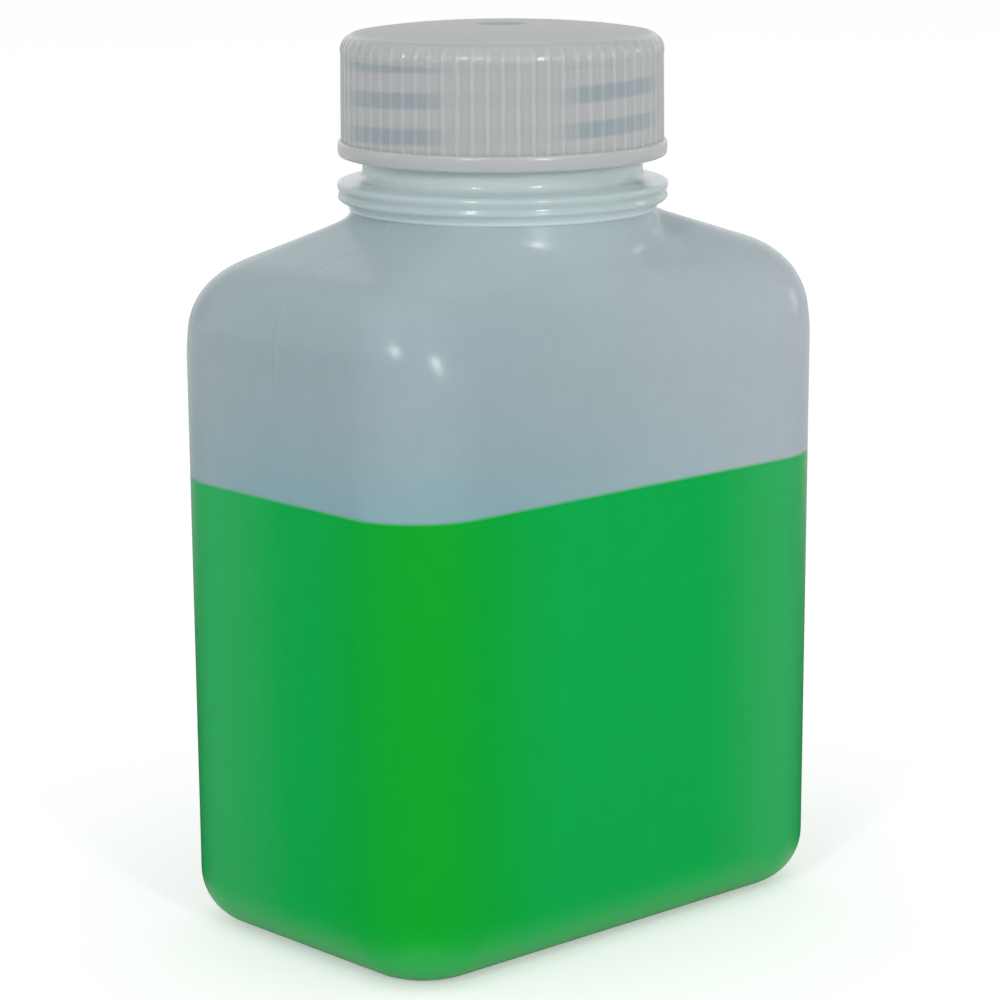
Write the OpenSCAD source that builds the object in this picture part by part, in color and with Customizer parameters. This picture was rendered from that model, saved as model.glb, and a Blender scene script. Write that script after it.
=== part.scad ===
// Oblong media bottle with a ribbed screw cap, in millimetres.
// The bottle stands on the plane z = 0, with the neck's axis on the Z axis,
// its long sides facing -Y and +Y and its short ends facing -X and +X.

/* [Body] */
// Width of the body over its short ends, at the top of the straight walls
body_w = 72.8; // [68:0.2:90]
// Depth of the body over its long sides, at the top of the straight walls
body_d = 48.1; // [44:0.1:56]
// Height of the shoulder's crown, where the neck begins, above the standing plane
shoulder_z = 88.4; // [76:0.2:120]
// Radius of the four upright corners, seen from above
corner_r = 10.6; // [8:0.1:14]
// Radius around the foot of the body
foot_r = 6.9; // [5:0.1:8]
// How far each wall leans inwards from the shoulder down to the foot
draft = 0.26; // [0:0.02:0.8]

/* [Shoulder] */
// Drop from the crown to the top of the straight short ends
end_drop = 12.7; // [11:0.1:15]
// Radius that rounds the shoulder over into the short ends
end_edge_r = 8.7; // [7:0.1:10]
// Fall of the shoulder towards the short ends, in degrees
end_slope = 18.6; // [14:0.1:22]
// Drop from the crown to the top of the straight long sides
side_drop = 16.7; // [15:0.1:19]
// Radius that rounds the shoulder over into the long sides
side_edge_r = 13.8; // [12:0.1:15]
// Fall of the shoulder towards the long sides, in degrees
side_slope = 33.5; // [29:0.5:38]
// Width of the hollow blend between the shoulder and the neck
neck_blend = 6; // [3:0.1:8]

/* [Wall and base] */
// Wall thickness of the blown body
wall = 1.3; // [0.8:0.05:1.8]
// Thickness of the base
base_t = 1.6; // [1:0.1:2.5]
// Width of the flat rim that the bottle stands on
rim_w = 3; // [2:0.1:5]
// How far the middle of the base is pushed up
push_up = 1.1; // [0.4:0.1:2]

/* [Neck] */
// Diameter of the neck at its foot, below the collar
neck_foot_d = 37.9; // [37:0.1:39]
// Diameter over the collar's two ridges
collar_d = 40.8; // [39.8:0.1:42]
// Depth of the groove between the collar's ridges
collar_groove = 0.3; // [0.1:0.05:0.6]
// Height of the collar's ridges above the crown of the shoulder
collar_rise = 3.6; // [3:0.1:4.5]
// Outside diameter of the neck between the threads
neck_d = 34.5; // [33.5:0.1:34.9]
// Bore of the mouth
mouth_d = 29.5; // [26:0.1:31]
// Wall thickness of the neck behind the collar
collar_wall = 1.75; // [1:0.05:2.5]

/* [Thread] */
// Axial pitch of the right-hand thread, six turns to the inch
pitch = 4.233; // [4:0.001:4.6]
// Height of the neck's thread over the neck
thread_h = 1.2; // [0.9:0.05:1.3]
// Width of both threads at the crest
thread_crest_w = 0.95; // [0.7:0.05:1.1]
// Width of both threads at the root
thread_root_w = 2.1; // [1.8:0.05:2.3]
// Turns of thread on the neck
neck_turns = 2; // [1.25:0.25:2]
// Turns of thread in the cap
cap_turns = 1.75; // [1:0.25:1.75]
// Running clearance between the cap and the neck
thread_gap = 0.27; // [0.2:0.01:0.35]

/* [Cap] */
// Gap between the collar's upper ridge and the cap's lower edge
cap_gap = 3.5; // [2.5:0.1:4.5]
// Height of the cap up to the edge of its top
cap_h = 15; // [14:0.1:17]
// Wall thickness of the cap's skirt between its ribs
cap_wall = 0.83; // [0.6:0.02:1.5]
// How far the plain band at the cap's lower edge stands out over the ribs
band_proud = 0.35; // [0.2:0.05:1]
// Height of the plain band
cap_band_h = 1.9; // [1.5:0.1:3]
// How much the ribs' radius shrinks up to the cap's top edge
cap_taper = 0.1; // [0:0.02:0.2]
// Number of grip ribs
rib_count = 68; // [40:2:80]
// Height of one grip rib
rib_h = 0.35; // [0.25:0.05:0.45]
// Width of one grip rib at its crest
rib_w = 0.4; // [0.3:0.05:0.8]
// Height of the rounded edge around the cap's top
cap_edge_h = 2.2; // [1.2:0.1:2.6]
// Width of the rounded edge around the cap's top
cap_edge_w = 2.2; // [0.9:0.05:2.6]
// How far the middle of the cap's top is crowned over its edge
cap_crown = 1; // [0.2:0.1:1.4]
// Thickness of the cap's top at its edge
cap_top_t = 1.9; // [1.4:0.1:2.4]
// Diameter of the shallow gate mark in the middle of the cap's top
gate_d = 6.4; // [4:0.1:9]
// Depth of the gate mark
gate_depth = 0.2; // [0.1:0.05:0.5]

/* [Seal and contents] */
// Thickness of the seal disc in the cap
seal_t = 1; // [0.6:0.1:1.2]
// Height of the liquid's surface above the standing plane
liquid_z = 57.2; // [20:0.2:66]
// Gap between the liquid and the wall
liquid_gap = 0.1; // [0.05:0.05:0.2]

/* [Hidden] */
$fn = 96;
eps = 0.01;

// --- body
end_top = shoulder_z - end_drop;
side_top = shoulder_z - side_drop;
corner_steps = 8;      // facets in one upright corner
edge_steps = 6;        // rings in the rounding of the foot
roof_steps = 15;       // rings in the shoulder
crown_corner = 0.1;    // share of corner_r that is left at the crown
corner_fade = 2.5;     // how late on the shoulder the corners tighten
rim_slope_w = 2.5;     // width of the slope from the standing rim to the push-up
crown_run = 1.5;       // how far the shoulder's skin goes on inside the neck
crown_sink = 0.4;      // how far the shoulder's top edge lies inside the neck
foot_flare = 0.12;     // slope of the neck's foot where the long sides rise against it
foot_depth = 5;        // how far below the crown that foot stays upright
foot_tuck = 0.06;      // how fast it then draws in, out of the long sides' way

// --- neck
neck_foot_r = neck_foot_d / 2;
foot_cone_w = 0.7;     // width of the cone by which the neck's foot comes out of the shoulder
foot_cone_h = 0.6;     // half that cone's height
foot_sunk = 3;         // how far the neck's outline goes down below the crown
collar_r = collar_d / 2;
neck_r = neck_d / 2;
collar_z = shoulder_z + collar_rise;
neck_fillet = 1;       // radius of the hollow between the collar's top and the neck
collar_rest = 0.55;    // height of the collar's flat top over the middle of its upper ridge
collar_top = collar_z + collar_rest + neck_fillet;
bore_drop = 0.8;       // how far below the upper ridge the bore begins to narrow
ridge_r = 0.45;        // rounding of the collar's ridges
ridge_gap = 1.5;       // height between the ridges
ridge_under = 1.3;     // height of the slope under the lower ridge
mouth_r = mouth_d / 2;
lip_r = 0.6;           // rounding of the mouth's lip
foot_bore_r = neck_foot_r - collar_wall;
foot_bore_drop = 10;   // how far the neck's wide bore reaches down into the body

// --- cap and thread
cap_z = collar_z + cap_gap;
cap_top = cap_z + cap_h;
cap_ceiling = cap_top - cap_top_t;
neck_top = cap_ceiling - seal_t;
thread_r = neck_r + thread_h;
cap_bore_r = thread_r + thread_gap;
cap_crest_r = neck_r + thread_gap;
thread_bury = 0.35;    // how deep a thread's root lies in its wall
thread_step = 10;      // degrees between two sections of a thread
thread_fade = 30;      // degrees over which a thread runs out
thread_end = 0.12;     // share of the thread's height that is left where it ends
thread_turn = 5;       // direction in which the neck's thread begins
thread_inset = 1.8;    // distance of the thread's last turn from the lip
thread_top = neck_top - thread_inset;
thread_base = thread_top - pitch * neck_turns;
flank_gap = 0.3;       // play between the threads' bearing flanks
thread_drop = (thread_crest_w + thread_root_w) / 2 + flank_gap;
cap_lead_in = 0.4;     // free height under the cap's thread
cap_thread_z = max(cap_z + thread_root_w / 2 + cap_lead_in, thread_base - thread_drop);
cap_thread_start = thread_turn + 360 * (cap_thread_z - thread_base + thread_drop) / pitch;
rib_root_r = cap_bore_r + cap_wall;
rib_tip_r = rib_root_r + rib_h;
band_r = rib_tip_r + band_proud;
edge_proud = 0.05;     // how far the rounded edge stands out over the ribs' ends
edge_r = rib_tip_r - cap_taper + edge_proud;
crown_steps = 6;       // cones in the crowned top
edge_turn = 18;        // degrees between two points of the cap's rounded edge
band_edge = 0.3;       // size of the bevel on the band's lower edge
band_step = 0.2;       // size of the bevel on its upper edge
rib_bury = 0.1;        // how deep the ribs lie in the skirt
seal_play = 0.3;       // gap between the seal disc and the cap's wall
seal_r = cap_bore_r - seal_play;

// Inset of a wall that rounds over with radius r into a slope, at height h over its top
function edge_inset(h, r, slope) =
    h <= 0 ? 0
    : h <= r * cos(slope) ? r - sqrt(r * r - h * h)
    : r * (1 - sin(slope)) + (h - r * cos(slope)) / tan(slope);

// Inset of the rounded foot at height z over its lowest point
function foot_inset(z, r) = z >= r ? 0 : r - sqrt(r * r - pow(r - z, 2));

// Lean of a wall at height z
function lean(z, top) = draft * max(top - z, 0) / top;

// Half the width and half the depth at height z, on the skin that lies t inside the outer
// one and has its floor at height f
function half_w(z, t, f) =
    body_w / 2 - t - lean(z, end_top) - foot_inset(z - f, foot_r - t)
    - edge_inset(z - end_top, end_edge_r - t, end_slope);
function half_d(z, t, f) =
    body_d / 2 - t - lean(z, side_top) - foot_inset(z - f, foot_r - t)
    - edge_inset(z - side_top, side_edge_r - t, side_slope);

// Radius of the upright corners at height z on that skin
function corner(z, t, f) = let (rise = max(z - side_top, 0) / side_drop)
    max(corner_r * (1 - (1 - crown_corner) * pow(rise, corner_fade)) - t
        - foot_inset(z - f, foot_r - t), 0.4);

// Distance from the axis to a rounded rectangle, half a by b, in the direction d
function reach(d, a, b, r) =
    let (c = abs(cos(d)), s = abs(sin(d)), x = a - r, y = b - r)
    a * s <= y * c ? a / c
    : b * c <= x * s ? b / s
    : x * c + y * s + sqrt(max(r * r - pow(x * s - y * c, 2), 0));

// The larger of two radii, with a hollow blend of width k where they are alike
function blend(p, q, k) = max(p, q) + pow(max(k - abs(p - q), 0), 2) / (4 * k);

// Directions in which every ring of the body has its points: close together at the corners
quarter = let (x = body_w / 2 - corner_r, y = body_d / 2 - corner_r) concat(
    [0, atan2(y / 2, body_w / 2)],
    [for (k = [0:corner_steps])
        atan2(y + corner_r * sin(90 * k / corner_steps), x + corner_r * cos(90 * k / corner_steps))],
    [atan2(body_d / 2, x * 2 / 3), atan2(body_d / 2, x / 3)]);
last = len(quarter) - 1;
directions = concat(
    quarter, [90], [for (i = [last:-1:1]) 180 - quarter[i]],
    [for (a = quarter) 180 + a], [270], [for (i = [last:-1:1]) 360 - quarter[i]]);

// One ring of the skin t inside the outer one at height z; neck is the radius it may not
// fall below, or 0
function skin_ring(z, t, f, neck) =
    [for (d = directions)
        let (r = reach(d, half_w(z, t, f), half_d(z, t, f), corner(z, t, f)),
             q = neck > 0 ? blend(r, neck, neck_blend) : r)
        [q * cos(d), q * sin(d), z]];

// Radius of the neck's foot at height z, which the shoulder blends into
function foot_r_at(z) = let (deep = shoulder_z - z)
    neck_foot_r - crown_sink + foot_flare * deep - foot_tuck * pow(max(deep - foot_depth, 0), 2);

// A ring of the base, drawn in by w from the outer skin's foot
function base_ring(w, z) =
    [for (d = directions)
        let (r = reach(d, body_w / 2 - draft - w, body_d / 2 - draft - w, max(corner_r - w, 0.4)))
        [r * cos(d), r * sin(d), z]];

// Heights of the rings in the foot's rounding, from its lowest point f up to the wall
function foot_levels(f, t) =
    [for (k = [0:edge_steps]) f + (foot_r - t) * (1 - cos(90 * k / edge_steps))];

// Middle of a ring of points
function middle(ring) = let (n = len(ring)) [for (i = [0:2]) [for (p = ring) p[i]] * [for (p = ring) 1 / n]];

// A closed solid through a list of rings with equal numbers of points
module loft(rings) {
    n = len(rings[0]);
    m = len(rings);
    points = concat([for (ring = rings) each ring], [middle(rings[0]), middle(rings[m - 1])]);
    sides = [for (i = [0:m - 2]) for (k = [0:n - 1])
        let (a = i * n + k, b = i * n + (k + 1) % n)
        each [[a, a + n, b], [b, a + n, b + n]]];
    low_end = [for (k = [0:n - 1]) [n * m, k, (k + 1) % n]];
    high_end = [for (k = [0:n - 1]) [n * m + 1, n * (m - 1) + (k + 1) % n, n * (m - 1) + k]];
    polyhedron(points, concat(sides, low_end, high_end));
}

// Outer skin of the body, with the pushed-up base and the blend into the neck
module body_skin() {
    roof = [for (k = [0:roof_steps])
        side_top + (shoulder_z + crown_run - side_top) * sin(90 * k / roof_steps)];
    loft(concat(
        [base_ring(foot_r + rim_w + rim_slope_w, push_up), base_ring(foot_r + rim_w, 0)],
        [for (z = foot_levels(0, 0)) skin_ring(z, 0, 0, 0)],
        [for (z = roof) skin_ring(z, 0, 0, foot_r_at(z))]));
}

// The space inside the body, or with a gap the liquid that fills it up to height top
module cavity(gap, top, steps) {
    t = wall + gap;
    f = base_t + push_up + gap;
    start = min(side_top, top - eps);
    loft(concat(
        [for (z = foot_levels(f, t)) skin_ring(z, t, f, 0)],
        [for (k = [steps > 1 ? 0 : 1:steps]) skin_ring(start + (top - start) * k / steps, t, f, 0)]));
}

// Outline of the neck from its foot to the lip, for turning about the axis
module neck_profile() {
    low = collar_z - ridge_gap;
    groove = collar_r - collar_groove;
    polygon(concat(
        [[0, shoulder_z - foot_sunk], [neck_foot_r - 2 * foot_cone_w, shoulder_z - foot_sunk],
         [neck_foot_r - foot_cone_w, shoulder_z - foot_cone_h],
         [neck_foot_r, shoulder_z + foot_cone_h],
         [neck_foot_r, low - ridge_under], [groove, low - ridge_r]],
        [for (a = [-60:30:60]) [collar_r - ridge_r + ridge_r * cos(a), low + ridge_r * sin(a)]],
        [[groove, collar_z - ridge_gap / 2]],
        [for (a = [-60:30:60]) [collar_r - ridge_r + ridge_r * cos(a), collar_z + ridge_r * sin(a)]],
        [for (a = [270:-22.5:180])
            [neck_r + neck_fillet * (1 + cos(a)), collar_top + neck_fillet * sin(a)]],
        [for (a = [0:30:90]) [neck_r - lip_r + lip_r * cos(a), neck_top - lip_r + lip_r * sin(a)]],
        [[0, neck_top]]));
}

// The neck's bore: wide behind the collar, narrow in the mouth
module neck_bore() {
    rotate_extrude() polygon([
        [0, shoulder_z - foot_bore_drop], [foot_bore_r, shoulder_z - foot_bore_drop],
        [foot_bore_r, collar_z - bore_drop], [mouth_r, collar_top], [mouth_r, neck_top - lip_r],
        [mouth_r + lip_r / 2, neck_top + eps], [0, neck_top + eps]]);
}

// A right-hand thread. root and crest are radii; the crest lies outside the root on the
// neck and inside it in the cap. It starts at height z in the direction start.
module thread(root, crest, z, start, turns) {
    out = sign(crest - root);
    steps = turns * 360 / thread_step;
    flank = (thread_root_w - thread_crest_w) / 2 / abs(crest - root);
    sections = [for (k = [0:steps])
        let (a = k * thread_step,
             fade = min(1, a / thread_fade, (turns * 360 - a) / thread_fade),
             high = abs(crest - root) * (thread_end + (1 - thread_end) * fade),
             tip = root + out * high,
             level = z + pitch * a / 360,
             w0 = thread_root_w / 2 + flank * thread_bury,
             w1 = thread_root_w / 2 - flank * high,
             r0 = root - out * thread_bury,
             d = start + a)
        [for (p = [[r0, -w0], [tip, -w1], [tip, w1], [r0, w0]])
            [p[0] * cos(d), p[0] * sin(d), level + p[1]]]];
    if (out < 0) loft(sections);
    else loft([for (s = sections) [s[3], s[2], s[1], s[0]]]);
}

// The blown bottle: body, neck, collar and thread in one shell
module bottle() {
    color([0.72, 0.78, 0.8]) difference() {
        union() {
            body_skin();
            rotate_extrude() neck_profile();
            thread(neck_r, thread_r, thread_base, thread_turn, neck_turns);
        }
        cavity(0, shoulder_z, roof_steps);
        neck_bore();
    }
}

// The liquid in the bottle
module contents() {
    color([0.05, 0.63, 0.3]) cavity(liquid_gap, liquid_z, 1);
}

// The seal disc, held between the cap's ceiling and the lip of the neck
module seal_disc() {
    color([0.93, 0.93, 0.9]) translate([0, 0, neck_top]) cylinder(h = seal_t, r = seal_r);
}

// Upper edge of the cap's outline and its crowned top, in to the axis
function cap_edge() = concat(
    [for (a = [0:edge_turn:90])
        [edge_r - cap_edge_w * (1 - cos(a)), cap_top - cap_edge_h * (1 - sin(a))]],
    [for (k = [1:crown_steps]) let (share = 1 - k / crown_steps)
        [(edge_r - cap_edge_w) * share, cap_top + cap_crown * (1 - pow(share, 3))]]);

// The grip ribs, cut to the cap's taper, which run out into its rounded edge
module cap_ribs() {
    intersection() {
        translate([0, 0, cap_z + cap_band_h / 2]) linear_extrude(cap_h)
            polygon([for (k = [0:rib_count - 1])
                for (p = [[rib_root_r - rib_bury, -rib_w], [band_r, -rib_w / 2],
                          [band_r, rib_w / 2], [rib_root_r - rib_bury, rib_w]])
                let (a = 360 * k / rib_count + asin(p[1] / p[0]))
                [p[0] * cos(a), p[0] * sin(a)]]);
        rotate_extrude() polygon([
            [0, cap_z], [rib_tip_r, cap_z], [rib_tip_r, cap_z + cap_band_h],
            [rib_tip_r - cap_taper, cap_top - cap_edge_h], [0, cap_top - cap_edge_h]]);
    }
}

// The moulded cap: plain band, ribbed skirt, rounded edge, crowned top with its gate mark,
// and inner thread
module cap() {
    color([0.8, 0.82, 0.81]) union() {
        difference() {
            union() {
                rotate_extrude() polygon(concat(
                    [[0, cap_z], [band_r - band_edge, cap_z], [band_r, cap_z + band_edge],
                     [band_r, cap_z + cap_band_h - band_step],
                     [band_r - band_step, cap_z + cap_band_h],
                     [rib_root_r, cap_z + cap_band_h + rib_bury],
                     [rib_root_r - cap_taper, cap_top - cap_edge_h - rib_h]],
                    cap_edge()));
                cap_ribs();
            }
            translate([0, 0, cap_z - eps]) cylinder(h = cap_ceiling - cap_z + eps, r = cap_bore_r);
            translate([0, 0, cap_top + cap_crown - gate_depth]) cylinder(h = 1, d = gate_d);
        }
        thread(cap_bore_r, cap_crest_r, cap_thread_z, cap_thread_start, cap_turns);
    }
}

bottle();
contents();
seal_disc();
cap();
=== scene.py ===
import math

import bpy
import numpy as np
from mathutils import Matrix


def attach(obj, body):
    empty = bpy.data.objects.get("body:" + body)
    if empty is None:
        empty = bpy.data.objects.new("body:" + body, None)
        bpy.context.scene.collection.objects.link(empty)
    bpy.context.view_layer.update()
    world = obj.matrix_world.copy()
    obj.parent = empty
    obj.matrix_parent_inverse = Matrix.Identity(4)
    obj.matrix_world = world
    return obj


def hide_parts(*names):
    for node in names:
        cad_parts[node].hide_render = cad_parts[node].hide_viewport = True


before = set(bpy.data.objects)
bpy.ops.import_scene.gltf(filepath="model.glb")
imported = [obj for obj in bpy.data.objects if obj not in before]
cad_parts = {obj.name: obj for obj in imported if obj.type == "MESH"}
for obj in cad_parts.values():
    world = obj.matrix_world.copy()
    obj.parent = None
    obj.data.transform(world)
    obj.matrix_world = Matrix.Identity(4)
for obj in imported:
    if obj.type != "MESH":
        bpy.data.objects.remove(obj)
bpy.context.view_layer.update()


# Bottle: one blow-moulded shell of natural high-density polyethylene, milky and satin, with
# the round threaded neck and its two-ridge collar moulded in one with the oblong body. The
# two mould halves leave a fine parting line down the short ends and across the base.
BODY_W, BODY_D = 72.8, 48.1          # millimetres, as all sizes in the sections
SHOULDER_Z = 88.4
END_DROP, END_EDGE, END_SLOPE = 12.7, 8.7, math.radians(18.6)
SIDE_DROP, SIDE_EDGE, SIDE_SLOPE = 16.7, 13.8, math.radians(33.5)
CORNER_R, FOOT_R, DRAFT, WALL = 10.6, 6.9, 0.26, 1.3
PUSH_UP, FLOOR_Z = 1.1, 2.7
NECK_FOOT_R, NECK_R, MOUTH_R, FOOT_BORE_R = 18.95, 17.25, 14.75, 17.2
RIDGE_R, NECK_TOP = 20.4, 107.6
PITCH, THREAD_H, THREAD_BASE = 4.233, 1.2, 97.334
THREAD_START, THREAD_TURNS = 5, 2
RIM_INSET, HUB_INSET = 9.9, 12.4     # from the body's side to the push-up's slope
BODY_CORNER_LOSS, CORNER_FADE = 0.9, 2.5
ROOT_W, CREST_W, FADE = 2.3, 0.75, 30    # a thread's widths, and degrees over which it ends
LIP_H = 1.1
LINE_H, LINE_W = 0.05, 0.3           # the parting line's height and half width
LINE_BREAK_Z, LINE_LOW = 72, 0.35    # below this height that share of the line is left
BASE_RINGS, BASE_LINE = 16, 1.6      # rings under the base, where the line is stronger


def spread(weights):
    """Directions in degrees, one for each equal share of the weight round the axis."""
    total = np.concatenate([[0], np.cumsum(weights)])
    share = np.arange(int(total[-1] / 2)) * total[-1] / int(total[-1] / 2)
    return np.interp(share, total, np.linspace(0, 360, len(total)))


fine = np.linspace(0, 360, 1440, endpoint=False)
slant = np.abs((fine + 90) % 180 - 90)
body_turn = spread((1 + 1.6 / (1 + np.exp((np.abs(slant - 32) - 14) / 1.5))) / 4)
line_turn = np.array([0, 0.25, 0.5, 1, 179, 179.5, 179.75, 180, 180.25, 180.5, 181,
                      359, 359.5, 359.75])
body_turn = np.unique(np.concatenate([
    body_turn[(np.abs((body_turn + 90) % 180 - 90) > 1.5)], line_turn]))
across, along = np.cos(np.radians(body_turn)), np.sin(np.radians(body_turn))


def edge_inset(h, r, slope):
    """Inset at height h of a wall that rounds over with radius r into a slope."""
    if h <= 0:
        return 0
    if h <= r * math.cos(slope):
        return r - math.sqrt(r * r - h * h)
    return r * (1 - math.sin(slope)) + (h - r * math.cos(slope)) / math.tan(slope)


def oblong(a, b, r):
    """Distance from the axis to a rounded rectangle, half a by b, in each direction."""
    c, s = np.abs(across), np.abs(along)
    x, y = a - r, b - r
    arc = x * c + y * s + np.sqrt(np.maximum(r * r - (x * s - y * c) ** 2, 0))
    return np.where(a * s <= y * c, a / np.maximum(c, 1e-6),
                    np.where(b * c <= x * s, b / np.maximum(s, 1e-6), arc))


def body_radius(z, inside=0, floor=0):
    """The body's skin at height z, or the skin that lies inside it over its own floor."""
    end_top, side_top = SHOULDER_Z - END_DROP, SHOULDER_Z - SIDE_DROP
    foot = FOOT_R - inside
    sunk = max(foot - (z - floor), 0)
    inset = inside + (foot - math.sqrt(max(foot * foot - sunk * sunk, 0)))
    half_w = (BODY_W / 2 - inset - DRAFT * max(end_top - z, 0) / end_top
              - edge_inset(z - end_top, END_EDGE - inside, END_SLOPE))
    half_d = (BODY_D / 2 - inset - DRAFT * max(side_top - z, 0) / side_top
              - edge_inset(z - side_top, SIDE_EDGE - inside, SIDE_SLOPE))
    rise = min(max(z - side_top, 0) / SIDE_DROP, 1.02)
    corner = max(CORNER_R * (1 - BODY_CORNER_LOSS * rise ** CORNER_FADE) - inset, 0.4)
    return oblong(half_w, half_d, min(corner, half_w, half_d))


def blend(p, q, k):
    """The larger of two radii, with a hollow blend where they are alike."""
    return np.maximum(p, q) + np.maximum(k - np.abs(p - q), 0) ** 2 / (4 * k)


def rounded(outline, times=3):
    """An open outline with its corners cut off a few times, so that they turn smoothly."""
    outline = np.array(outline, float)
    for _ in range(times):
        a, b = outline[:-1], outline[1:]
        cut = np.stack([0.75 * a + 0.25 * b, 0.25 * a + 0.75 * b], 1).reshape(-1, 2)
        outline = np.concatenate([outline[:1], cut, outline[-1:]])
    return outline


def thread_height(z, turn, base, start, turns, h, root_w, crest_w):
    """Height of a right-hand thread over its root cylinder at height z in each direction."""
    best = np.zeros_like(turn)
    for lap in range(-1, int(turns) + 2):
        swept = (turn - start) % 360 + 360 * lap
        off = np.abs(z - base - PITCH * swept / 360)
        fade = np.clip(np.minimum(swept, turns * 360 - swept) / FADE, 0, 1)
        on = (swept >= 0) & (swept <= turns * 360)
        side = np.clip((root_w / 2 - off) / ((root_w - crest_w) / 2), 0, 1)
        side = side * side * (3 - 2 * side)
        best = np.maximum(best, np.where(on, h * side * fade * (2 - fade), 0))
    return best


ring_list = []                       # (radius in each direction, height) from the base up


def ring(radius, z):
    ring_list.append(np.stack([radius * across, radius * along, np.full_like(across, z)], 1))


rim = oblong(BODY_W / 2 - DRAFT - RIM_INSET, BODY_D / 2 - DRAFT - RIM_INSET, 0.7)
hub = oblong(BODY_W / 2 - DRAFT - HUB_INSET, BODY_D / 2 - DRAFT - HUB_INSET, 0.4)
for share in (0.02, 0.12, 0.3, 0.5, 0.7, 0.86):
    ring(hub * share, PUSH_UP)
for share in np.linspace(0, 1, 9):
    ring(hub + (rim - hub) * share, PUSH_UP * (0.5 + 0.5 * math.cos(math.pi * share)))
for tip in np.linspace(0, 90, 15):
    ring(body_radius(FOOT_R * (1 - math.cos(math.radians(tip)))),
         FOOT_R * (1 - math.cos(math.radians(tip))))
for z in np.linspace(FOOT_R, SHOULDER_Z - SIDE_DROP, 22)[1:]:
    ring(body_radius(z), z)


def shoulder_radius(z):
    """The shoulder's skin at height z, which runs in a hollow up to the neck's foot and
    whose hips soften towards it."""
    deep = SHOULDER_Z - z
    foot = NECK_FOOT_R - 0.15 + 0.12 * deep - 0.06 * max(deep - 5, 0) ** 2
    radius = blend(body_radius(z), foot, 6 - 3.5 * min(max((z - 83) / 4, 0), 1))
    for _ in range(int(60 * min(max((z - 80) / 7, 0), 1))):
        radius = (np.roll(radius, 1) + 2 * radius + np.roll(radius, -1)) / 4
    return radius


for share in np.linspace(0, 90, 58)[1:]:
    z = SHOULDER_Z - SIDE_DROP + (SIDE_DROP + 0.5) * math.sin(math.radians(share))
    ring(shoulder_radius(z), z)
outside_rings = len(ring_list)       # from here on the neck, which has no parting line left
for r, z in rounded([
        (NECK_FOOT_R, SHOULDER_Z + 0.6), (NECK_FOOT_R, 89.3), (19.4, 89.75), (20.15, 90.15),
        (RIDGE_R - 0.05, 90.5), (20.1, 91.1), (20.25, 91.45), (RIDGE_R, 91.85), (20.3, 92.3),
        (19.9, 92.45), (18.4, 92.6), (17.65, 92.8), (17.3, 93.25), (NECK_R, 93.8),
        (NECK_R, 95)], 2):
    ring(np.maximum(shoulder_radius(z), r) if z < 90.5 else np.full_like(across, r), z)
for z in np.arange(95.2, 106.3, 0.21):
    ring(NECK_R + thread_height(z, body_turn, THREAD_BASE, THREAD_START, THREAD_TURNS,
                                THREAD_H, ROOT_W, CREST_W), z)
for tip in np.linspace(0, 180, 13):
    half = (NECK_R - MOUTH_R) / 2
    ring(np.full_like(across, NECK_R - half * (1 - math.cos(math.radians(tip)))),
         NECK_TOP - LIP_H + LIP_H * math.sin(math.radians(tip)))
for r, z in ((MOUTH_R, 104), (MOUTH_R, 100), (MOUTH_R, 96), (MOUTH_R, 94.4), (14.9, 94),
             (17, 92.3), (FOOT_BORE_R, 91.8), (FOOT_BORE_R, 90)):
    ring(np.full_like(across, r), z)
for share in np.linspace(90, 0, 26):
    z = SHOULDER_Z - SIDE_DROP + SIDE_DROP * math.sin(math.radians(share))
    ring(blend(body_radius(z, WALL, FLOOR_Z), FOOT_BORE_R, 1.5), z)
for z in np.linspace(SHOULDER_Z - SIDE_DROP, FLOOR_Z + FOOT_R - WALL, 12)[1:]:
    ring(body_radius(z, WALL, FLOOR_Z), z)
for tip in np.linspace(90, 0, 8)[1:]:
    z = FLOOR_Z + (FOOT_R - WALL) * (1 - math.cos(math.radians(tip)))
    ring(body_radius(z, WALL, FLOOR_Z), z)
for share in (0.75, 0.4, 0.05):
    ring(body_radius(FLOOR_Z, WALL, FLOOR_Z) * share, FLOOR_Z)


def shell(name, rings):
    """A closed mesh over rings with equal numbers of points, with a point at each end."""
    n, m = len(rings[0]), len(rings)
    points = np.concatenate([np.concatenate(rings), [rings[0].mean(0)], [rings[-1].mean(0)]])
    k = np.arange(n)
    after = (k + 1) % n
    faces = [(n * m, b, a) for a, b in zip(k, after)]
    for i in range(m - 1):
        faces += list(zip(i * n + k, i * n + after, i * n + n + after, i * n + n + k))
    faces += [(n * m + 1, n * (m - 1) + a, n * (m - 1) + b) for a, b in zip(k, after)]
    mesh = bpy.data.meshes.new(name)
    mesh.from_pydata((points / 1000).tolist(), [], [tuple(map(int, f)) for f in faces])
    mesh.shade_smooth()
    made = bpy.data.objects.new(name, mesh)
    bpy.context.scene.collection.objects.link(made)
    return made


grid = np.array(ring_list)
up = np.gradient(grid, axis=0)
round_about = np.roll(grid, -1, 1) - np.roll(grid, 1, 1)
out = np.cross(round_about, up)
out /= np.maximum(np.linalg.norm(out, axis=2, keepdims=True), 1e-9)
line = np.clip(1 - (np.abs(grid[:, :, 1]) / LINE_W) ** 2, 0, 1) * LINE_H
line *= (np.abs(grid[:, :, 0]) > 1) * (
    LINE_LOW + (1 - LINE_LOW) * (grid[:, :, 2] > LINE_BREAK_Z))
line[outside_rings:] = 0
line[:BASE_RINGS] *= BASE_LINE
grid = grid + out * line[:, :, None]
grid[:, :, 2] = np.maximum(grid[:, :, 2], 0)
bottle = shell("bottle_shell", list(grid))
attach(bottle, "bottle")
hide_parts("bottle")


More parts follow.
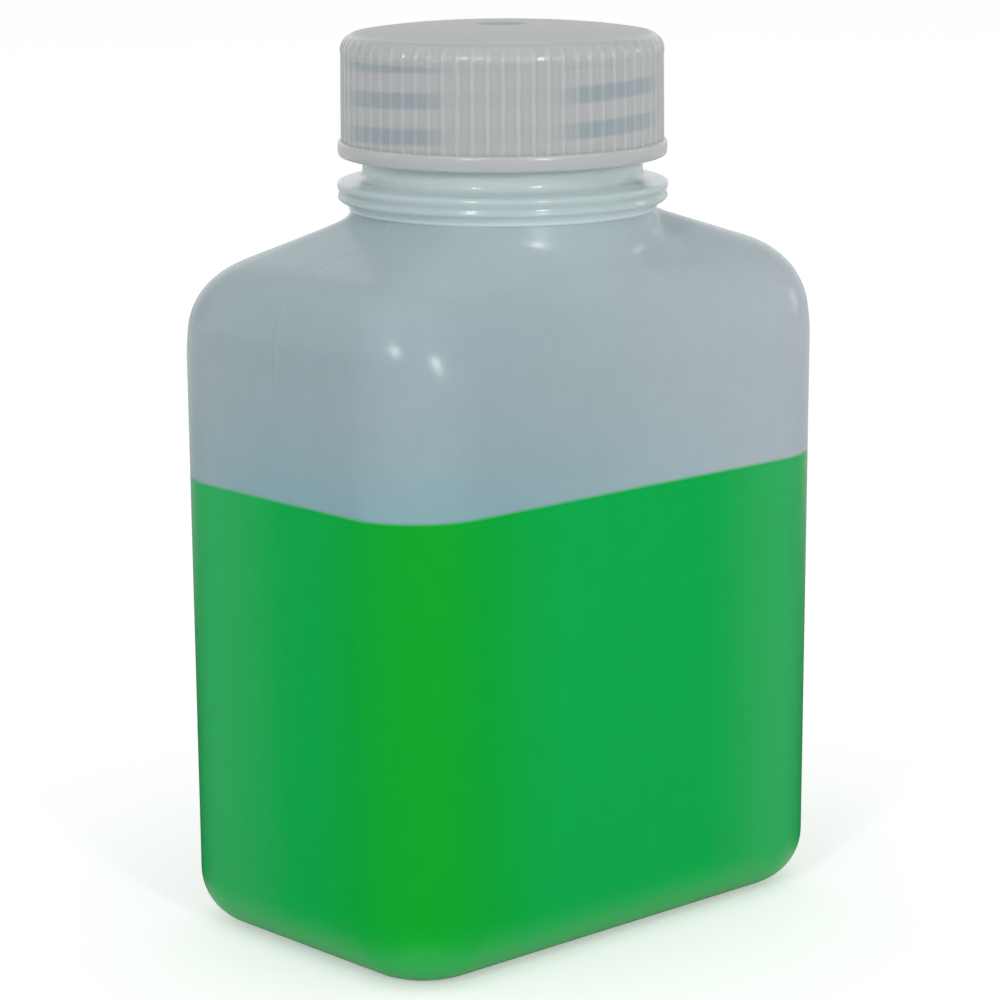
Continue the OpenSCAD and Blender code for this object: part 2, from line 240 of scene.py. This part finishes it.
class Wire:
    """An output of one of a material's nodes. Arithmetic on wires adds Math nodes."""

    def __init__(self, tree, socket=None):
        self.tree, self.socket = tree, socket

    def node(self, kind, sockets=(), out=0, **settings):
        """Adds any node: its settings first, then its sockets' values or links."""
        made = self.tree.nodes.new("ShaderNode" + kind)
        for name, value in settings.items():
            setattr(made, name, value)
        for name, value in dict(sockets).items():
            if isinstance(value, Wire):
                self.tree.links.new(value.socket, made.inputs[name])
            else:
                made.inputs[name].default_value = value
        return Wire(self.tree, made.outputs[out] if made.outputs else None)

    def maths(self, operation, *values):
        return self.node("Math", enumerate(values), operation=operation)

    def mix(self, share, a, b, **settings):
        """Colour a where share is 0 and colour b where it is 1."""
        return self.node("Mix", {0: share, 6: a, 7: b}, 2, data_type="RGBA", **settings)

    def ease(self, low, high):
        """0 below low, 1 above high, and a smooth step between them."""
        return self.node("MapRange", {"Value": self, "From Min": low, "From Max": high},
                         interpolation_type="SMOOTHSTEP")

    def __add__(self, other):
        return self.maths("ADD", self, other)

    __radd__ = __add__

    def __sub__(self, other):
        return self.maths("SUBTRACT", self, other)

    def __rsub__(self, other):
        return self.maths("SUBTRACT", other, self)

    def __mul__(self, other):
        return self.maths("MULTIPLY", self, other)

    __rmul__ = __mul__

    def __truediv__(self, other):
        return self.maths("DIVIDE", self, other)

    def __rtruediv__(self, other):
        return self.maths("DIVIDE", other, self)


def finish(name):
    """An empty material and the wire from which its nodes are made."""
    made = bpy.data.materials.new(name)
    made.use_nodes = True
    made.node_tree.nodes.clear()
    return made, Wire(made.node_tree)


# The liquid's green is laid into the wall's own colour below the level, by height and position.
# Over that the colour carries painted light and shade: painted light from the liquid just above
# its level, painted light on one side, painted sheen on the faces and at the edges, painted light
# in the hollows under the collar's ridge and under the cap, and a paler foot, partly painted
# light from the floor. The wall is also lighter towards the shoulder and the neck.
LIQUID_Z = 57.2
LONG_X, LONG_Y = 0.737, 0.676        # a level direction from one upright edge to its opposite
hdpe, start = finish("milky_polyethylene")
place = start.node("TexCoord", out=3)
x, y, z = (start.node("SeparateXYZ", {0: place}, out=i) * 1000 for i in range(3))
drift = start.node("TexNoise", {"Vector": place, "Scale": 22, "Detail": 3, "Roughness": 0.6})
cloud = start.node("TexNoise", {"Vector": place, "Scale": 320, "Detail": 4, "Roughness": 0.7})
radius = start.maths("SQRT", x * x + y * y)
level = z + (drift - 0.5) * 0.35
# Painted light from the liquid: just above its level the wall is a bluer tone, greyer higher up.
above = start.mix(level.ease(LIQUID_Z - 4, LIQUID_Z + 15),
                  (0.24, 0.40, 0.44, 1), (0.32, 0.41, 0.44, 1))
above = start.mix(level.ease(76, 87), above, (0.39, 0.475, 0.50, 1))
above = start.mix(level.ease(88, 91), above, (0.46, 0.55, 0.56, 1))
aside = x * LONG_X - y * LONG_Y
low = 1 - z.ease(80, 90)
# Painted light: lower down, the wall grows lighter and greyer towards one side.
above = start.mix(aside.ease(-6, 42) * low * 0.85, above, (0.44, 0.49, 0.525, 1))
# Painted sheen: a greyer band along the edge at the other side.
above = start.mix((0 - aside).ease(26, 40) * low * 0.4, above, (0.40, 0.44, 0.455, 1))
# Painted light: the collar's top, the neck and its mouth are lightened so that the shade under the
# cap hardly shows.
above = start.mix(z.ease(92.2, 92.6), above, (0.58, 0.67, 0.68, 1))
# Painted light in the hollow under the collar's lower ridge, which lifts the shade there.
above = start.mix(z.ease(88.9, 89.3) * (1 - z.ease(89.9, 90.3)), above, (0.66, 0.76, 0.77, 1))
# Painted sheen below the level: the flat faces are a bluer green than the four upright corners.
corner = start.maths("ABSOLUTE", x).ease(12, 32) * start.maths("ABSOLUTE", y).ease(4, 21)
# Painted sheen: the green turns greyer towards the edges at either side.
edge_sheen = start.maths("ABSOLUTE", aside).ease(24, 36)
below = start.mix(corner, (0.0, 0.41, 0.07, 1), (0.0, 0.39, 0.022, 1))
below = start.mix(edge_sheen, below, (0.03, 0.42, 0.12, 1))
# The foot is a paler green, partly for its thicker wall and partly painted light from the floor,
# which lifts the shade beside it.
below = start.mix(level.ease(0, 9), (0.02, 0.46, 0.10, 1), below)
tint = start.mix(level.ease(LIQUID_Z - 0.3, LIQUID_Z + 0.3), below, above)
tint = start.mix(0.05, tint, start.mix(cloud, (0, 0, 0, 1), (1, 1, 1, 1)), blend_type="OVERLAY")
bumps = start.node("Bump", {"Strength": 0.12, "Distance": 0.0003, "Height": cloud})
satin = 0.22 + 0.05 * drift - 0.1 * z.ease(88, 91)
skin = start.node("BsdfPrincipled", {
    "Base Color": tint, "Roughness": satin, "Normal": bumps, "IOR": 1.45,
    "Subsurface Weight": 0.3, "Subsurface Radius": (1, 1, 1), "Subsurface Scale": 0.0015})
start.node("OutputMaterial", {"Surface": skin})
bottle.data.materials.append(hdpe)


# Liquid: a clear green filling, which wets the inner wall and climbs it in a small meniscus.
# It hangs a tenth of a millimetre clear of the wall, in the space that the bottle leaves.
GAP, MENISCUS = 0.1, 0.7
ring_list = []
floor = FLOOR_Z + GAP
for share in (0.05, 0.4, 0.75):
    ring(body_radius(floor, WALL + GAP, floor) * share, floor)
for tip in np.linspace(0, 90, 10):
    rise = (FOOT_R - WALL - GAP) * (1 - math.cos(math.radians(tip)))
    ring(body_radius(floor + rise, WALL + GAP, floor), floor + rise)
for z in np.linspace(floor + FOOT_R - WALL - GAP, LIQUID_Z - 0.02, 12)[1:]:
    ring(body_radius(z, WALL + GAP, floor), z)
edge = body_radius(LIQUID_Z, WALL + GAP, floor)
for share in np.linspace(0, 1, 9)[1:]:
    ring(edge - 2.2 * share, LIQUID_Z - MENISCUS * (1 - (1 - share) ** 2.5))
for share in (0.7, 0.4, 0.1):
    ring((edge - 2.2) * share, LIQUID_Z - MENISCUS)
liquid = shell("liquid", ring_list)
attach(liquid, "bottle")
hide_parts("contents")
dye, start = finish("green_liquid")
place = start.node("TexCoord", out=3)
swirl = start.node("TexNoise", {"Vector": place, "Scale": 40, "Detail": 2})
tone = start.mix(swirl, (0.004, 0.34, 0.05, 1), (0.01, 0.40, 0.08, 1))
surface = start.node("BsdfPrincipled", {"Base Color": tone, "Roughness": 0.04 + 0.03 * swirl,
                                        "IOR": 1.33})
start.node("OutputMaterial", {"Surface": surface})
liquid.data.materials.append(dye)


# Seal disc: a flat wad of white foamed polyethylene, punched from sheet and pressed under the
# cap's ceiling, where it lies on the lip of the neck.
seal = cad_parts["seal_disc"]
foam, start = finish("foamed_polyethylene")
place = start.node("TexCoord", out=3)
cells = start.node("TexVoronoi", {"Vector": place, "Scale": 2600})
tone = start.mix(cells, (0.80, 0.80, 0.77, 1), (0.90, 0.90, 0.87, 1))
pits = start.node("Bump", {"Strength": 0.3, "Distance": 0.0002, "Height": cells})
surface = start.node("BsdfPrincipled", {"Base Color": tone, "Roughness": 0.75 + 0.1 * cells,
                                        "Normal": pits})
start.node("OutputMaterial", {"Surface": surface})
seal.data.materials.clear()
seal.data.materials.append(foam)


# Cap: injection-moulded natural polypropylene, grey and satin, screwed onto the neck. Ribs for
# the grip run from a plain band at its foot up into the rounded top edge, and a round gate mark
# is left in the middle of its top.
CAP_Z, CAP_TOP, CAP_CEILING = 95.5, 110.5, 108.6
CAP_BORE, CAP_THREAD_R = 18.72, 17.52
RIB_ROOT, RIB_H, RIB_COUNT, BAND_R, BAND_H = 19.72, 0.16, 68, 20.25, 1.9
EDGE_R, EDGE_W, EDGE_H, TAPER = 19.85, 2.2, 2.2, 0.1
CROWN = 1.02                         # rise of the top's middle over its edge
GATE_R, GATE_DEPTH = 3.2, 0.2
STEPS = 16                           # points across one rib and the hollow beside it
LEAD = 4                             # points of the skirt's outside for one of its inside

skirt_turn = np.arange(RIB_COUNT * STEPS) * 360 / (RIB_COUNT * STEPS)
ridge = 0.5 + 0.5 * np.cos(np.radians(skirt_turn * RIB_COUNT))
ridge = np.clip((ridge - 0.6) / 0.4, 0, 1)
ridge = ridge * ridge * (3 - 2 * ridge)
across, along = np.cos(np.radians(skirt_turn)), np.sin(np.radians(skirt_turn))
plain = np.ones_like(skirt_turn)
ring_list = []
for r, z in rounded([(BAND_R - 0.75, CAP_Z), (BAND_R - 0.3, CAP_Z), (BAND_R, CAP_Z + 0.3),
                     (BAND_R, CAP_Z + BAND_H - 0.25), (BAND_R - 0.2, CAP_Z + BAND_H - 0.02)], 2):
    ring(plain * r, z)
skirt_h = CAP_TOP - EDGE_H - CAP_Z - BAND_H
for rise in (0, 0.01, 0.02, 0.03, *np.linspace(0.08, 0.97, 11)):
    ring(RIB_ROOT - TAPER * rise + RIB_H * ridge, CAP_Z + BAND_H + skirt_h * rise)
for tip in np.linspace(0, 80, 17):
    a = math.radians(tip)
    groove = RIB_H * (1 - ridge) * math.cos(min(tip / 70, 1) * math.pi / 2)
    ring(EDGE_R - EDGE_W * (1 - math.cos(a)) - groove, CAP_TOP - EDGE_H * (1 - math.sin(a)))
edge_top = ring_list[-1][0]
crown_r, crown_z = math.hypot(edge_top[0], edge_top[1]), edge_top[2]
for r in (17.4, 16.6, 15.6, 14.4, 13, 11, 8.5, 6, 4.4):
    ring(plain * r, crown_z + CROWN * (1 - (r / crown_r) ** 3))
for r, z in rounded([(GATE_R + 0.25, 0), (GATE_R, 0), (GATE_R - 0.2, -GATE_DEPTH),
                     (GATE_R - 0.5, -GATE_DEPTH)], 1):
    ring(plain * r, crown_z + z + CROWN * (1 - (r / crown_r) ** 3))
for r in (1.6, 0.3):
    ring(plain * r, crown_z + CROWN - GATE_DEPTH)
outside = ring_list
thin = slice(0, None, LEAD)
across, along = across[thin], along[thin]
plain = plain[thin]
inner_turn = skirt_turn[thin]
CAP_TURNS = 1.75
TURN_CREST, TURN_ROOT, FLANK_GAP, THREAD_RISE = 0.95, 2.1, 0.3, 0.4
cap_thread_z = CAP_Z + TURN_ROOT / 2 + THREAD_RISE
neck_drop = (TURN_CREST + TURN_ROOT) / 2 + FLANK_GAP
cap_thread_start = THREAD_START + 360 * (cap_thread_z - THREAD_BASE + neck_drop) / PITCH
ring_list = []
for r, z in ((CAP_BORE + 0.1, CAP_Z), (CAP_BORE, CAP_Z + 0.1)):
    ring(plain * r, z)
for z in np.arange(CAP_Z + 0.3, CAP_CEILING - 1.2, 0.25):
    ring(CAP_BORE - thread_height(z, inner_turn, cap_thread_z, cap_thread_start % 360, CAP_TURNS,
                                  CAP_BORE - CAP_THREAD_R, ROOT_W, CREST_W), z)
for r, z in ((CAP_BORE, CAP_CEILING - 0.5), (CAP_BORE - 0.1, CAP_CEILING), (12, CAP_CEILING),
             (5, CAP_CEILING), (1, CAP_CEILING)):
    ring(plain * r, z)
inside = ring_list


def double_shell(name, outside, inside, lead):
    """A closed mesh whose outside has lead points for each point of its inside."""
    n, k = len(outside[0]), len(inside[0])
    base = n * len(outside)
    hub = base + k * len(inside)
    points = np.concatenate(outside + inside + [[outside[-1].mean(0)], [inside[-1].mean(0)]])
    faces = []
    for i in range(len(outside) - 1):
        for a in range(n):
            b = (a + 1) % n
            faces.append((i * n + a, i * n + b, i * n + n + b, i * n + n + a))
    for a in range(n):
        faces.append((hub, base - n + a, base - n + (a + 1) % n))
    for i in range(len(inside) - 1):
        for a in range(k):
            b = (a + 1) % k
            at = base + i * k
            faces.append((at + b, at + a, at + k + a, at + k + b))
    for a in range(k):
        faces.append((hub + 1, hub - k + (a + 1) % k, hub - k + a))
    for a in range(k):
        b = (a + 1) % k
        faces.append(tuple([base + a, base + b] + [(a * lead + j) % n for j in range(lead, -1, -1)]))
    mesh = bpy.data.meshes.new(name)
    mesh.from_pydata((points / 1000).tolist(), [], faces)
    mesh.shade_smooth()
    made = bpy.data.objects.new(name, mesh)
    bpy.context.scene.collection.objects.link(made)
    return made


cap = double_shell("cap_shell", outside, inside, LEAD)
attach(cap, "cap")
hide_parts("cap")

# The turns of the threads that show through such a cap are laid into its colour along the same
# helix, as painted shade between the turns that is strongest at four places round the cap, and
# don't come from the threads behind.
WINDOW_SHIFT = 0.11                  # in turns: where the dark stretches lie along the helix
pp, start = finish("grey_polypropylene")
place = start.node("TexCoord", out=3)
x, y, z = (start.node("SeparateXYZ", {0: place}, out=i) * 1000 for i in range(3))
turn = start.maths("ARCTAN2", y, x) / (2 * math.pi)
radius = start.maths("SQRT", x * x + y * y)
cloud = start.node("TexNoise", {"Vector": place, "Scale": 260, "Detail": 4, "Roughness": 0.7})
lap = start.maths("FRACT", (z - cap_thread_z) / PITCH - turn + cap_thread_start / 360 + WINDOW_SHIFT)
turn_shade = 1 - start.maths("ABSOLUTE", lap - 0.5).ease(0.17, 0.29)
skirt = z.ease(CAP_Z + BAND_H, CAP_Z + BAND_H + 0.4)
skirt = skirt * (1 - z.ease(NECK_TOP - 0.1, NECK_TOP + 0.2))
quarter = start.maths("COSINE", turn * (8 * math.pi) - math.radians(10))
turn_shade = turn_shade * (0.15 + 0.85 * quarter.ease(-0.45, 0.6))
# Painted shade between the turns of the threads, darker and bluer.
tone = start.mix(turn_shade * skirt, (0.46, 0.475, 0.475, 1), (0.345, 0.395, 0.42, 1))
# Painted light: the ribs' crests are paler where they cross the painted shade of the turns.
crest = radius.ease(RIB_ROOT + 0.1, RIB_ROOT + RIB_H) * skirt
tone = start.mix(crest * 0.1 * turn_shade, tone, (0.49, 0.52, 0.52, 1))
gate = (1 - radius.ease(GATE_R - 0.6, GATE_R + 0.1)) * z.ease(CAP_TOP, CAP_TOP + 0.5)
tone = start.mix(gate, tone, (0.28, 0.35, 0.365, 1))
# Painted light: the cap's underside and inside are made pale so that the shade under it hardly
# shows.
within = 1 - radius.ease(BAND_R - 0.7, BAND_R - 0.4)
under = 1 - z.ease(CAP_Z + 0.02, CAP_Z + 0.2) * radius.ease(CAP_BORE + 0.2, CAP_BORE + 0.5)
under = under * (1 - z.ease(CAP_CEILING + 0.2, CAP_CEILING + 0.6))
tone = start.mix(within * under, tone, (0.8, 0.83, 0.83, 1))
grain = start.node("Bump", {"Strength": 0.1, "Distance": 0.0002, "Height": cloud})
satin = 0.17 + 0.08 * cloud + 0.4 * z.ease(CAP_TOP - 0.3, CAP_TOP + 0.2)
surface = start.node("BsdfPrincipled", {
    "Base Color": tone, "Roughness": satin, "Normal": grain, "IOR": 1.49,
    "Subsurface Weight": 0.75, "Subsurface Radius": (1, 1, 1), "Subsurface Scale": 0.0025,
    "Sheen Weight": 0.05, "Sheen Roughness": 0.5, "Sheen Tint": (1, 1, 1, 1)})
start.node("OutputMaterial", {"Surface": surface})
cap.data.materials.append(pp)


# Floor: a wide pale sheet that the bottle stands on, lit so that it comes out white around
# the object's own soft shadow. Mirrored in the bottle's front it is dark, save near the foot.
FLOOR_HALF = 6
FOOT_X, FOOT_Y = 0.036, 0.024        # half the foot's width and depth, in metres
mesh = bpy.data.meshes.new("floor")
mesh.from_pydata([(-FLOOR_HALF, -FLOOR_HALF, 0), (FLOOR_HALF, -FLOOR_HALF, 0),
                  (FLOOR_HALF, FLOOR_HALF, 0), (-FLOOR_HALF, FLOOR_HALF, 0)], [], [(0, 1, 2, 3)])
sheet = bpy.data.objects.new("floor", mesh)
bpy.context.scene.collection.objects.link(sheet)
paper, start = finish("white_paper")
seen = start.maths("MAXIMUM", start.node("LightPath"), start.node("LightPath", out=6))
spot = start.node("TexCoord", out=3)
front = start.node("VectorMath", {0: spot, 1: (-0.676, -0.737, 0)}, 1, operation="DOT_PRODUCT")
flat = [start.node("SeparateXYZ", {0: spot}, out=i) for i in (0, 1)]
away = start.maths("MAXIMUM", start.maths("ABSOLUTE", flat[0]) - FOOT_X,
                   start.maths("ABSOLUTE", flat[1]) - FOOT_Y)
matt = start.node("LightPath", out=3) * front.ease(-0.35, -0.05) * away.ease(-0.006, 0.014)
shade = start.mix(matt, (0.82, 0.82, 0.82, 1), (0.01, 0.01, 0.01, 1))
bare = start.node("BsdfDiffuse", {"Color": shade})
glow = start.node("Emission", {"Color": (1, 1, 1, 1), "Strength": seen * 0.36})
start.node("OutputMaterial", {"Surface": start.node("AddShader", {0: bare, 1: glow})})
mesh.materials.append(paper)


# Light and camera: an even white surround, two soft lamps before the bottle and one at each
# side, and a long lens a little above the bottle's middle, looking at an upright corner.
world = bpy.data.worlds.new("surround")
bpy.context.scene.world = world
world.use_nodes = True
world.node_tree.nodes.clear()
start = Wire(world.node_tree)
rays = [start.node("LightPath", out=i) for i in (0, 3, 6)]
way = start.node("TexCoord", out=0)
front = start.node("VectorMath", {0: way, 1: (-0.66, -0.72, 0.2)}, 1, operation="DOT_PRODUCT")
dim = 1 - front.ease(-0.95, -0.4) * rays[1] * 0.99
sky = start.node("Background", {"Color": (1, 1, 1, 1), "Strength": 0.75})
white = start.node("Background", {"Color": (1, 1, 1, 1), "Strength": dim})
seen = start.maths("MAXIMUM", start.maths("MAXIMUM", rays[0], rays[1]), rays[2])
start.node("OutputWorld", {"Surface": start.node("MixShader", {0: seen, 1: sky, 2: white})})

AZIMUTH, ELEVATION, ROLL = (math.radians(a) for a in (-42.51, 11.99, -0.304))
back = np.array([math.sin(AZIMUTH) * math.cos(ELEVATION),
                 -math.cos(AZIMUTH) * math.cos(ELEVATION), math.sin(ELEVATION)])
right = np.array([math.cos(AZIMUTH), math.sin(AZIMUTH), 0])
upward = np.cross(back, right)
level_right = right * math.cos(ROLL) + upward * math.sin(ROLL)
level_up = upward * math.cos(ROLL) - right * math.sin(ROLL)


def placed(side, top, toward, spot):
    """A 4 by 4 matrix with those three axes and that origin."""
    rows = np.stack([side, top, toward, spot], 1)
    return [*rows.tolist(), [0, 0, 0, 1]]


lens = bpy.data.cameras.new("camera")
lens.lens, lens.sensor_width = 127.3, 36
lens.clip_start, lens.clip_end = 0.01, 50
camera = bpy.data.objects.new("camera", lens)
bpy.context.scene.collection.objects.link(camera)
FAR, HIGH, LEFT = 443.75, 52.01, 0.538    # millimetres from the axis at the floor
spot = (back * FAR + np.array([0, 0, HIGH]) - right * LEFT) / 1000
camera.matrix_world = Matrix(placed(level_right, level_up, back, spot))
bpy.context.scene.camera = camera


def lamp(name, azimuth, elevation, distance, width, height, power):
    """A soft box that faces the bottle's middle from a direction round it."""
    light = bpy.data.lights.new(name, "AREA")
    light.shape, light.size, light.size_y, light.energy = "RECTANGLE", width, height, power
    made = bpy.data.objects.new(name, light)
    bpy.context.scene.collection.objects.link(made)
    a, e = math.radians(azimuth), math.radians(elevation)
    way = np.array([math.sin(a) * math.cos(e), -math.cos(a) * math.cos(e), math.sin(e)])
    side = np.array([math.cos(a), math.sin(a), 0])
    made.matrix_world = Matrix(placed(side, np.cross(way, side), way,
                                      way * distance + np.array([0, 0, 0.06])))
    return made


FACING = -42.5                       # degrees: the upright edge that the camera faces
lamp("left_lamp", FACING - 23, 23, 1.4, 0.16, 0.3, 3.6)
lamp("right_lamp", FACING + 28, 16, 1.4, 0.16, 0.3, 4)
lamp("left_strip", FACING - 92, 10, 1.2, 0.05, 0.4, 0.15)
lamp("right_strip", FACING + 113, 14, 1.2, 0.2, 0.3, 0.6)

view = bpy.context.scene.view_settings
view.view_transform = "Standard"
